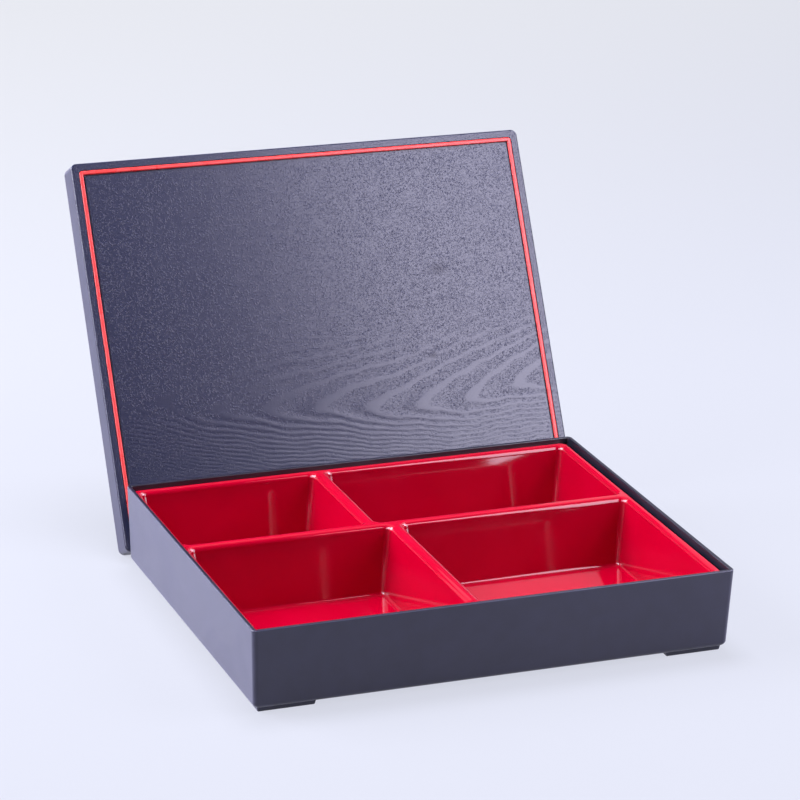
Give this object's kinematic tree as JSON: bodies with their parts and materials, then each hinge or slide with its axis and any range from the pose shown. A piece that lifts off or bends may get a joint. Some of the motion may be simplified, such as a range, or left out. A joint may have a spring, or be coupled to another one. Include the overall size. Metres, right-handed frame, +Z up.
{
  "type": "bento box",
  "caption": "Rectangular black bento box on corner feet, with a lift-out red tray of drafted wells and a wood-grained cap lid that leans back behind it.",
  "frame": {"origin": "on the table, under the middle of the box and its leaning lid taken together", "axes": "+X to the right along the box's front, +Y from the front to the back where the lid leans, +Z up"},
  "size_m": [0.2752, 0.3386, 0.2036],
  "materials": {
    "box_black": "satin moulded plastic",
    "tray_red": "polished moulded plastic",
    "lid_black": "satin, embossed with wood grain",
    "line_red": "semi-gloss"
  },
  "bodies": {
    "box": {"outer_box": "box_black"},
    "tray": {"food_tray": "tray_red"},
    "leaning_lid": {"lid": "lid_black", "lid_red_line": "line_red"}
  },
  "joints": [
    {"name": "tray_lift", "type": "slide", "parent": "box", "child": "tray", "axis": [0, 0, 1], "range_m": [0, 0.07]},
    {"name": "lid_lift", "type": "slide", "parent": "box", "child": "leaning_lid", "axis": [0, 0.4802, 0.8771], "range_m": [0, 0.15]}
  ]
}
